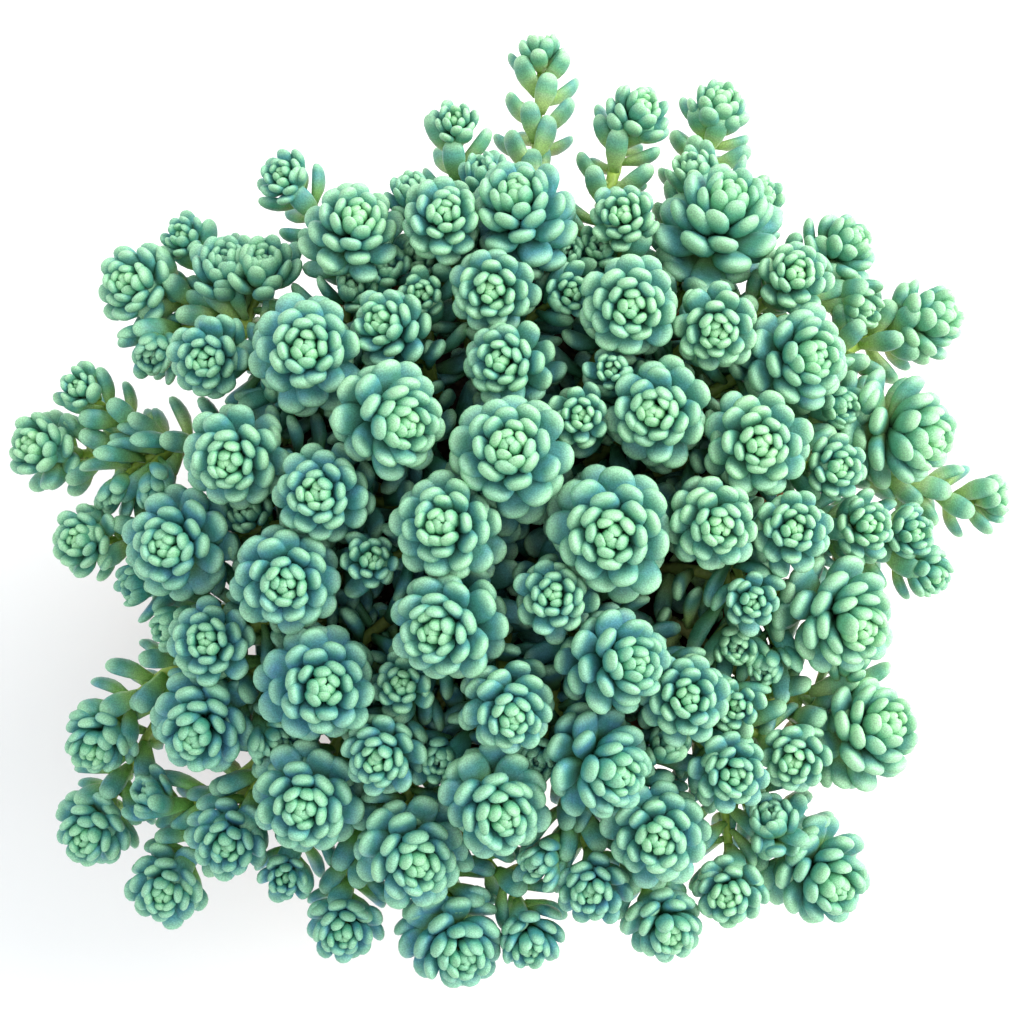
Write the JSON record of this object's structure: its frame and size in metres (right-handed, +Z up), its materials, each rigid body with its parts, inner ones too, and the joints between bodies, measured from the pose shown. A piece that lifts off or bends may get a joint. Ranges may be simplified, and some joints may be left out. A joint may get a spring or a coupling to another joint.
{
  "type": "potted sedum",
  "caption": "Cushion of blue-green stonecrop rosettes on leafy stems, spilling over the rim of a small plain clay pot.",
  "frame": {"origin": "middle of the pot's underside, on the surface that it stands on, under the middle of the plant's spread", "axes": "+Z up; the picture looks down from above and a little in front, with +X to its right and +Y to its top"},
  "size_m": [0.1659, 0.1599, 0.1196],
  "materials": {
    "clay": "matte",
    "soil": "matte",
    "leaf": "matte"
  },
  "bodies": {
    "root": {"pot": "clay", "soil": "soil", "stem_back_left_2": "leaf", "stem_back_left_3": "leaf", "stem_back_mid_1": "leaf", "stem_back_mid_3": "leaf", "stem_back_right_1": "leaf", "stem_back_right_3": "leaf", "stem_crown_1": "leaf", "stem_crown_11": "leaf", "stem_crown_12": "leaf", "stem_crown_13": "leaf", "stem_crown_14": "leaf", "stem_crown_16": "leaf", "stem_crown_18": "leaf", "stem_crown_19": "leaf", "stem_crown_20": "leaf", "stem_crown_22": "leaf", "stem_crown_23": "leaf", "stem_crown_3": "leaf", "stem_crown_4": "leaf", "stem_crown_5": "leaf", "stem_crown_6": "leaf", "stem_crown_7": "leaf", "stem_crown_8": "leaf", "stem_front_left_1": "leaf", "stem_front_left_2": "leaf", "stem_front_left_4": "leaf", "stem_front_left_6": "leaf", "stem_front_left_8": "leaf", "stem_front_mid_1": "leaf", "stem_front_mid_2": "leaf", "stem_front_mid_3": "leaf", "stem_front_mid_5": "leaf", "stem_front_mid_6": "leaf", "stem_front_mid_7": "leaf", "stem_front_mid_8": "leaf", "stem_front_mid_9": "leaf", "stem_front_right_1": "leaf", "stem_front_right_3": "leaf", "stem_front_right_5": "leaf", "stem_left_1": "leaf", "stem_left_10": "leaf", "stem_left_12": "leaf", "stem_left_13": "leaf", "stem_left_14": "leaf", "stem_left_3": "leaf", "stem_left_4": "leaf", "stem_left_5": "leaf", "stem_left_7": "leaf", "stem_left_9": "leaf", "stem_right_1": "leaf", "stem_right_10": "leaf", "stem_right_2": "leaf", "stem_right_4": "leaf", "stem_right_6": "leaf", "stem_right_9": "leaf"}
  },
  "joints": []
}
